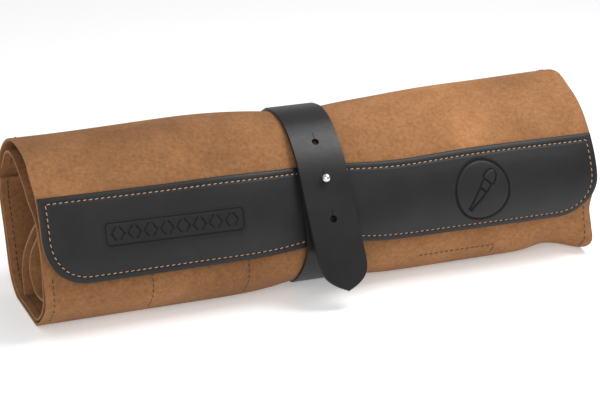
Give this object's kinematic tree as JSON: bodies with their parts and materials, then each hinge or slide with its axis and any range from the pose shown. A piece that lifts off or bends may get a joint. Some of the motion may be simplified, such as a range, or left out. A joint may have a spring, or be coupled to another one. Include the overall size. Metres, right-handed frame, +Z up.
{
  "type": "brush roll case",
  "caption": "Leather roll case for brushes or hand tools, rolled up and held by a strap that buttons over a stud.",
  "frame": {"origin": "on the table under the middle of the whole rolled case", "axes": "+Z up, +X along the roll to the right seen from the flap's side, the flap's front faces -Y"},
  "size_m": [0.38, 0.1382, 0.1112],
  "materials": {
    "suede": "brushed suede, matt",
    "black_leather": "smooth dyed leather, satin",
    "tan_thread": "waxed linen thread",
    "nickel": "polished nickel plate"
  },
  "bodies": {
    "roll": {"cover": "suede", "pocket_panel": "suede", "tool_guard": "suede", "cover_seams": "tan_thread", "strap_back": "black_leather", "rivet_caps": "nickel", "rivet_posts": "nickel"},
    "flap": {"flap": "suede", "trim_band": "black_leather", "band_thread": "tan_thread"},
    "tongue": {"strap_tongue": "black_leather"},
    "stud_end": {"strap_stud_end": "black_leather", "stud": "nickel", "stud_screw": "nickel"}
  },
  "joints": [
    {"name": "flap_fold", "type": "hinge", "parent": "roll", "child": "flap", "pos_m": [0, 0.0029, 0.1073], "axis": [-1, 0, 0], "range_deg": [0, 20]},
    {"name": "tongue_fold", "type": "hinge", "parent": "roll", "child": "tongue", "pos_m": [0, 0.0029, 0.1118], "axis": [-1, 0, 0], "range_deg": [0, 165]},
    {"name": "stud_end_fold", "type": "hinge", "parent": "roll", "child": "stud_end", "pos_m": [0, -0.0156, 0.0033], "axis": [1, 0, 0], "range_deg": [0, 35]}
  ],
  "couplings": [
    {"joint": "tongue_fold", "follows": "flap_fold", "ratio": 8.25},
    {"joint": "stud_end_fold", "follows": "flap_fold", "ratio": 1.75}
  ]
}
